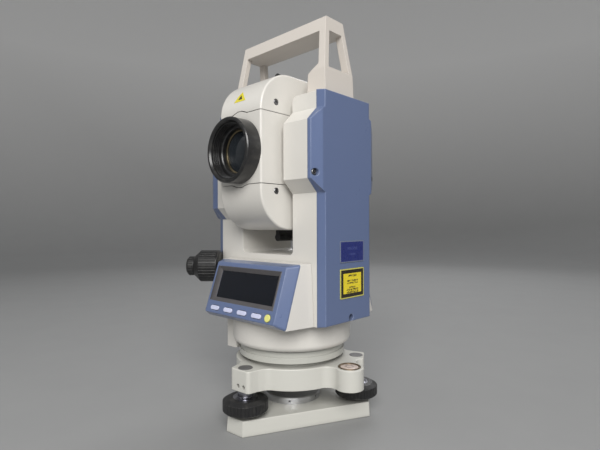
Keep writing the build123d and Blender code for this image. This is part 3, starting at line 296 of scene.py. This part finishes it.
def liquid_vial(name, colour, clearness):
    """Tinted glass of a vial; a clearness of 0 is opaque."""
    shader = Shader(name)
    base = shader.mix(shader.noise(80, 3), scaled(colour, 0.92), scaled(colour, 1.06))
    shader.set(Base_Color=base, Roughness=shader.fit(shader.noise(200, 3), 0.3, 0.7, 0.05, 0.12), Coat_Weight=0.6)
    shader.bsdf.inputs["Transmission Weight"].default_value = clearness
    shader.bsdf.inputs["IOR"].default_value = 1.45
    return shader.material


PAINT_EDGE_X = -57 * MM     # the blue starts here on the left bulge
YOKE_FACE_Y = 31.7 * MM     # just proud of the standards' front and rear faces
BULGE_FOOT_Z = 170 * MM     # below the bulge


def left_bulge(shader):
    """Region of the yoke's left trunnion bulge, front and rear, that is painted like the cover."""
    across, along, up = shader.axes()
    outside = shader.maths("LESS_THAN", across, PAINT_EDGE_X)
    proud = shader.maths("GREATER_THAN", shader.maths("ABSOLUTE", along), YOKE_FACE_Y)
    high = shader.maths("GREATER_THAN", up, BULGE_FOOT_Z)
    return shader.maths("MULTIPLY", shader.maths("MULTIPLY", outside, proud), high)


WHITE = srgb(217, 214, 208)
BLUE = srgb(97, 112, 148)
# The edge colours given here are painted highlights along the edges; on the enamels they also stand for paint
# wear.
FINISH = {
    "base_enamel": enamel("base_enamel", srgb(205, 204, 197), crevice_shade=0.45),
    "bare_aluminium": metal("bare_aluminium", srgb(214, 215, 218), 0.36),
    "black_plastic": moulded("black_plastic", srgb(22, 22, 23), 0.40, edge=srgb(42, 42, 43)),
    "cap_grey": moulded("cap_grey", srgb(98, 97, 98), 0.38),
    "vial_bronze": metal("vial_bronze", srgb(152, 134, 112), 0.36, tarnish=0.3),
    "flange_grey": enamel("flange_grey", srgb(190, 190, 183), crevice_shade=0.5),
    "bearing_steel": metal("bearing_steel", srgb(170, 170, 172), 0.26),
    "circle_glass": liquid_vial("circle_glass", srgb(200, 212, 208), 0.6),
    "body_white": enamel("body_white", WHITE),
    "cover_blue": enamel("cover_blue", BLUE, 0.30, edge=srgb(158, 171, 201), edge_radius=0.0014, crevice_shade=0.3,
                         mottle=0.03, coat=0.35),
    "handle_white": enamel("handle_white", srgb(209, 202, 194), 0.36, orange_peel=0.00003),
    "housing_white": enamel("housing_white", srgb(214, 211, 206), 0.36),
    "screw_steel": metal("screw_steel", srgb(120, 120, 122), 0.34),
    "name_blue": label_finish("name_blue", "name_plate", srgb(34, 44, 112), 0.0007,
                              (srgb(118, 126, 142), srgb(44, 56, 122), 0.0006),
                              ((0.30, 0.42, 0.0011), (-0.25, 0.30, 0.0007)), srgb(62, 72, 132)),
    "warning_yellow": label_finish("warning_yellow", "warning_plate", srgb(236, 214, 44), 0.0009,
                                   (srgb(206, 200, 96), srgb(36, 30, 18), 0.0030),
                                   ((0.52, 0.34, 0.0009), (0.18, 0.46, 0.0007), (0.02, 0.46, 0.0007),
                                    (-0.28, 0.26, 0.0007), (-0.44, 0.50, 0.0008), (-0.60, 0.50, 0.0008)),
                                   srgb(60, 50, 20)),
    "lcd_dark": glass_window("lcd_dark", srgb(9, 13, 22), rim_highlight=srgb(44, 48, 56)),
    "key_lilac": moulded("key_lilac", srgb(203, 207, 233), 0.40, edge=srgb(226, 228, 240), crevice_shade=0.5),
    "key_yellow": moulded("key_yellow", srgb(228, 226, 134), 0.40, edge=srgb(240, 238, 170), crevice_shade=0.5),
    "board_green": moulded("board_green", srgb(34, 92, 58), 0.35),
    "battery_black": moulded("battery_black", srgb(38, 38, 40), 0.5),
    "vial_glass": liquid_vial("vial_glass", srgb(196, 208, 150), 0.5),
    "hood_black": moulded("hood_black", srgb(20, 20, 21), 0.30, grain=0.00002, edge=srgb(66, 66, 68), coat=0.35),
    "lens_glass": coated_lens("lens_glass"),
}
NECK_Z = 27.75 * MM
FOOT_FINISH = foot_screw_finish("foot_screw", NECK_Z)
YOKE_FINISH = enamel("yoke_paint", WHITE, second=(BLUE, left_bulge))

for node_name, node in NODES.items():
    finish = FINISH[SLOT_OF[node_name]]
    if node_name in ("foot_screw_1", "foot_screw_2", "foot_screw_3"):
        finish = FOOT_FINISH
    if node_name == "yoke_frame":
        finish = YOKE_FINISH
    for material_slot in node.material_slots:
        material_slot.material = finish


# ---- mesh helpers -------------------------------------------------------
def piece(name, vertices, faces, body, slot, material=None, sharp=35):
    """Mesh piece in the row frame that rides on a body."""
    mesh = bpy.data.meshes.new(name)
    mesh.from_pydata([Vector(v) for v in vertices], [], faces)
    work = bmesh.new()
    work.from_mesh(mesh)
    bmesh.ops.remove_doubles(work, verts=work.verts, dist=1e-7)
    bmesh.ops.dissolve_degenerate(work, edges=work.edges, dist=1e-8)
    bmesh.ops.recalc_face_normals(work, faces=work.faces)
    work.to_mesh(mesh)
    work.free()
    mesh.shade_smooth()
    mesh.set_sharp_from_angle(angle=math.radians(sharp))
    mesh.materials.append(material or FINISH[slot])
    made = bpy.data.objects.new(name, mesh)
    bpy.context.collection.objects.link(made)
    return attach(made, body)


def lathe(name, profile, origin, axis, body, slot, material=None, segments=96):
    """Closed half-section of (radius, along) points in millimetres, turned about an axis."""
    along = Vector(axis).normalized()
    first = Vector((1, 0, 0)) if abs(along.x) < 0.9 else Vector((0, 1, 0))
    first = (first - along * first.dot(along)).normalized()
    second = along.cross(first)
    centre = Vector(origin) * MM
    vertices, faces = [], []
    count = len(profile)
    for step in range(segments):
        turn = 2 * math.pi * step / segments
        outward = first * math.cos(turn) + second * math.sin(turn)
        vertices += [centre + (outward * radius + along * height) * MM for radius, height in profile]
        following = (step + 1) % segments
        faces += [(step * count + i, step * count + (i + 1) % count,
                   following * count + (i + 1) % count, following * count + i) for i in range(count)]
    return piece(name, vertices, faces, body, slot, material)


# ---- bull's-eye vial ----------------------------------------------------
VIAL = (65.5, 2.0)
HEAD_TOP = 51.3
SEAT_R = 9.6
SEAT_Z = 45.0
VIAL_FACE = liquid_vial("vial_face", srgb(226, 208, 198), 0.0)
VIAL_INK = moulded("vial_ink", srgb(40, 34, 32), 0.5)
ring = lathe("vial_ring", [(7.6, SEAT_Z), (SEAT_R, SEAT_Z), (SEAT_R, HEAD_TOP + 0.1), (9.3, HEAD_TOP + 0.5),
                           (8.7, HEAD_TOP + 0.6), (8.1, HEAD_TOP + 0.45), (7.6, HEAD_TOP + 0.05)],
             (*VIAL, 0), (0, 0, 1), "levelling_head", "vial_bronze")
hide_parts("circular_vial")
DOME = [(0, HEAD_TOP + 0.35), (2.0, HEAD_TOP + 0.32), (4.0, HEAD_TOP + 0.22), (6.0, HEAD_TOP + 0.05),
        (7.5, HEAD_TOP - 0.15)]
lathe("vial_face", [*DOME, (7.5, SEAT_Z + 0.2), (0, SEAT_Z + 0.2)], (*VIAL, 0), (0, 0, 1), "levelling_head",
      "vial_glass", VIAL_FACE)
lathe("vial_circle", [(2.9, HEAD_TOP + 0.27), (3.25, HEAD_TOP + 0.25), (3.25, HEAD_TOP + 0.33),
                      (2.9, HEAD_TOP + 0.36)], (*VIAL, 0), (0, 0, 1), "levelling_head", "black_plastic", VIAL_INK)

# ---- sloped frames round the display windows ----------------------------
FRAME_GREY = moulded("lcd_frame", srgb(84, 82, 84), 0.38, edge=srgb(120, 118, 120))
TILT = math.radians(18.75)
PANEL_Y = 58                # centre of a display's face, from the vertical axis
PANEL_Z = 115
LCD_CENTRE = (-1.0, 3.45)   # on the face, from its centre
FRAME_SECTION = ((41.45, 15.8, -0.02), (36.8, 12.2, -2.9), (36.7, 12.1, -2.7), (41.25, 15.6, -0.02))
CORNERS = ((-1, -1), (1, -1), (1, 1), (-1, 1))


def window_frame(name, side):
    """Thin liner on the sloped walls of a display's recess; side is -1 for the front and 1 for the rear."""
    def place(across, up, out):
        return (-side * across * MM, side * (PANEL_Y + out * math.cos(TILT) - up * math.sin(TILT)) * MM,
                (PANEL_Z + out * math.sin(TILT) + up * math.cos(TILT)) * MM)

    vertices = [place(LCD_CENTRE[0] + half_width * x, LCD_CENTRE[1] + half_height * y, out)
                for half_width, half_height, out in FRAME_SECTION for x, y in CORNERS]
    faces = []
    count = len(CORNERS)
    for ring in range(len(FRAME_SECTION)):
        here = count * ring
        following = count * ((ring + 1) % len(FRAME_SECTION))
        for corner in range(count):
            after = (corner + 1) % count
            faces.append((here + corner, here + after, following + after, following + corner))
    return piece(name, vertices, faces, "alidade", "cap_grey", FRAME_GREY)


window_frame("lcd_frame_front", -1)
window_frame("lcd_frame_rear", 1)

# ---- objective ----------------------------------------------------------
SCOPE = (0, 0, 231.2)
LOOK = (0, 1, 0)
BORE = 18.8
LENS_R = 17.8
LENS_FRONT = -62.6
LENS_RISE = 2.6
lens_arc = [(radius, LENS_FRONT + LENS_RISE * (radius / LENS_R) ** 2)
            for radius in (0, 3, 6, 9, 12, 14.5, 16.5, LENS_R)]
lens = lathe("objective_glass", [*lens_arc, (BORE, -59.6), (BORE, -55), (0, -55)], SCOPE, LOOK, "telescope",
             "lens_glass")
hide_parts("objective_lens")
BRASS = metal("lens_ring", srgb(128, 116, 92), 0.30, (1, 40, 1))
lathe("lens_ring", [(17.0, -61.0), (17.9, -61.6), (18.7, -61.6), (18.7, -60.2), (17.2, -60.0)], SCOPE, LOOK,
      "telescope", "hood_black", BRASS)
# stepped rings down the inside of the hood
STEP_FRONT = -72.4
STEP_PITCH = 1.5
STEP_R = 22.95
STEP_TAPER = 0.23
for number in range(4):
    start = STEP_FRONT + STEP_PITCH * number
    radius = STEP_R - STEP_TAPER * number
    lathe(f"hood_step_{number + 1}", [(radius, start), (radius - 0.75, start + 0.3), (radius - 0.75, start + 0.6),
                                      (radius, start + 0.9)], SCOPE, LOOK, "telescope", "hood_black")

# ---- sticker on the top cover -------------------------------------------
STICKER = moulded("sticker", srgb(222, 208, 40), 0.3, edge=srgb(240, 230, 120), crevice_shade=0.0)
STICKER_INK = moulded("sticker_ink", srgb(44, 38, 16), 0.4)
ROUND_CENTRE = (-27.9, 263.0)
ROUND_R = 33.5
LABEL_BACK = 0.002          # the labels' undersides stand this far off the cover


def on_round(across, degrees, lift):
    """Point on the telescope's front top rounding."""
    turn = math.radians(degrees)
    reach = ROUND_R + lift
    return (across * MM, (ROUND_CENTRE[0] - reach * math.cos(turn)) * MM,
            (ROUND_CENTRE[1] + reach * math.sin(turn)) * MM)


def curved_triangle(name, corners, lift, material, rows=8):
    """Thin triangular label that follows the rounding; corners are (x, degrees)."""
    grid, faces = [], []
    for row in range(rows + 1):
        share = row / rows
        left = [a + (b - a) * share for a, b in zip(corners[0], corners[2])]
        right = [a + (b - a) * share for a, b in zip(corners[1], corners[2])]
        for column in range(rows + 1):
            part = column / rows
            grid.append([a + (b - a) * part for a, b in zip(left, right)])
    size = rows + 1
    vertices = [on_round(*point, lift) for point in grid] + [on_round(*point, LABEL_BACK) for point in grid]
    lower = len(grid)
    for row in range(rows):
        for column in range(rows):
            here = row * size + column
            quad = (here, here + 1, here + size + 1, here + size)
            faces.append(quad)
            faces.append(tuple(lower + index for index in reversed(quad)))
    rim = [*range(size), *(row * size + rows for row in range(1, size)),
           *(row * size for row in range(rows - 1, 0, -1))]
    for here, following in zip(rim, rim[1:] + rim[:1]):
        faces.append((here, lower + here, lower + following, following))
    return piece(name, vertices, faces, "telescope", "warning_yellow", material)


curved_triangle("top_sticker", [(-9.4, 18.3), (5.6, 18.5), (-3.4, 37.0)], 0.08, STICKER)
curved_triangle("top_sticker_mark", [(-4.6, 22.0), (0.6, 22.0), (-2.4, 30.0)], 0.12, STICKER_INK)

# ---- camera, lights and floor -------------------------------------------
camera_data = bpy.data.cameras.new("camera")
camera_data.lens = 26.70
camera_data.sensor_width = 36
camera_data.clip_start = 0.01
camera = bpy.data.objects.new("camera", camera_data)
camera.location = (0.29212, -0.29613, 0.16981)
camera.rotation_euler = (math.radians(90.01), math.radians(0.19), math.radians(43.52))
bpy.context.collection.objects.link(camera)
bpy.context.scene.camera = camera


def soft_light(name, place, aim, width, height, power, colour=(1, 1, 1)):
    """Rectangular softbox that lights the object and isn't seen itself."""
    data = bpy.data.lights.new(name, "AREA")
    data.shape = "RECTANGLE"
    data.size = width
    data.size_y = height
    data.energy = power
    data.color = colour
    light = bpy.data.objects.new(name, data)
    light.location = place
    light.rotation_euler = (Vector(aim) - Vector(place)).to_track_quat("-Z", "Y").to_euler()
    light.visible_camera = False
    bpy.context.collection.objects.link(light)


TARGET = (0, 0, 0.18)
soft_light("key", (0.98, -1.00, 1.00), TARGET, 1.1, 0.9, 29.5, (1.0, 0.99, 0.97))
soft_light("overhead", (0.15, -0.1, 1.5), TARGET, 1.3, 1.3, 1, (1.0, 1.0, 1.0))
soft_light("fill", (-0.9, -0.8, 1.2), TARGET, 0.9, 0.9, 1.4, (0.98, 0.99, 1.0))
soft_light("rear", (-0.5, 1.15, 1.2), TARGET, 1.0, 0.9, 9, (0.99, 0.99, 1.0))

world = bpy.data.worlds.new("world")
bpy.context.scene.world = world
world.use_nodes = True
world.node_tree.nodes["Background"].inputs["Color"].default_value = (0.72, 0.73, 0.74, 1)
world.node_tree.nodes["Background"].inputs["Strength"].default_value = 0.25
bpy.context.scene.view_settings.view_transform = "Standard"

FLOOR_R = 1.6
SWEEP_R = 1.0
WALL_TOP = 2.6
RIM = 96
ARC_STEPS = 16
sweep = [(0.001, 0.0), (0.4, 0.0), (0.9, 0.0), (FLOOR_R, 0.0)]
for step in range(1, ARC_STEPS + 1):
    turn = math.pi / 2 * step / ARC_STEPS
    sweep.append((FLOOR_R + SWEEP_R * math.sin(turn), SWEEP_R * (1 - math.cos(turn))))
sweep.append((FLOOR_R + SWEEP_R, WALL_TOP))
floor_vertices, floor_faces = [], []
for step in range(RIM):
    turn = 2 * math.pi * step / RIM
    following = (step + 1) % RIM
    floor_vertices += [(radius * math.cos(turn), radius * math.sin(turn), height) for radius, height in sweep]
    floor_faces += [(step * len(sweep) + i, following * len(sweep) + i, following * len(sweep) + i + 1,
                     step * len(sweep) + i + 1) for i in range(len(sweep) - 1)]
floor_faces.append(tuple(step * len(sweep) for step in reversed(range(RIM))))
floor_mesh = bpy.data.meshes.new("floor")
floor_mesh.from_pydata(floor_vertices, [], floor_faces)
floor_mesh.shade_smooth()
floor = bpy.data.objects.new("floor", floor_mesh)
bpy.context.collection.objects.link(floor)
paper = Shader("floor_paper")
# Painted light: the paper turns from dark grey on the floor to light grey up the wall, a painted brightening in
# place of light on the backdrop.
tone = paper.fit(paper.axes()[2], 0.05, 1.2)
low_tone = paper.mix(paper.noise(14, 5, 0.6), (0.285, 0.288, 0.290, 1), (0.312, 0.314, 0.314, 1))
paper.set(Base_Color=paper.mix(tone, low_tone, (0.80, 0.80, 0.80, 1)),
          Roughness=0.85, Normal=paper.bump(paper.noise(500, 3), 0.0002, 0.25))
floor_mesh.materials.append(paper.material)
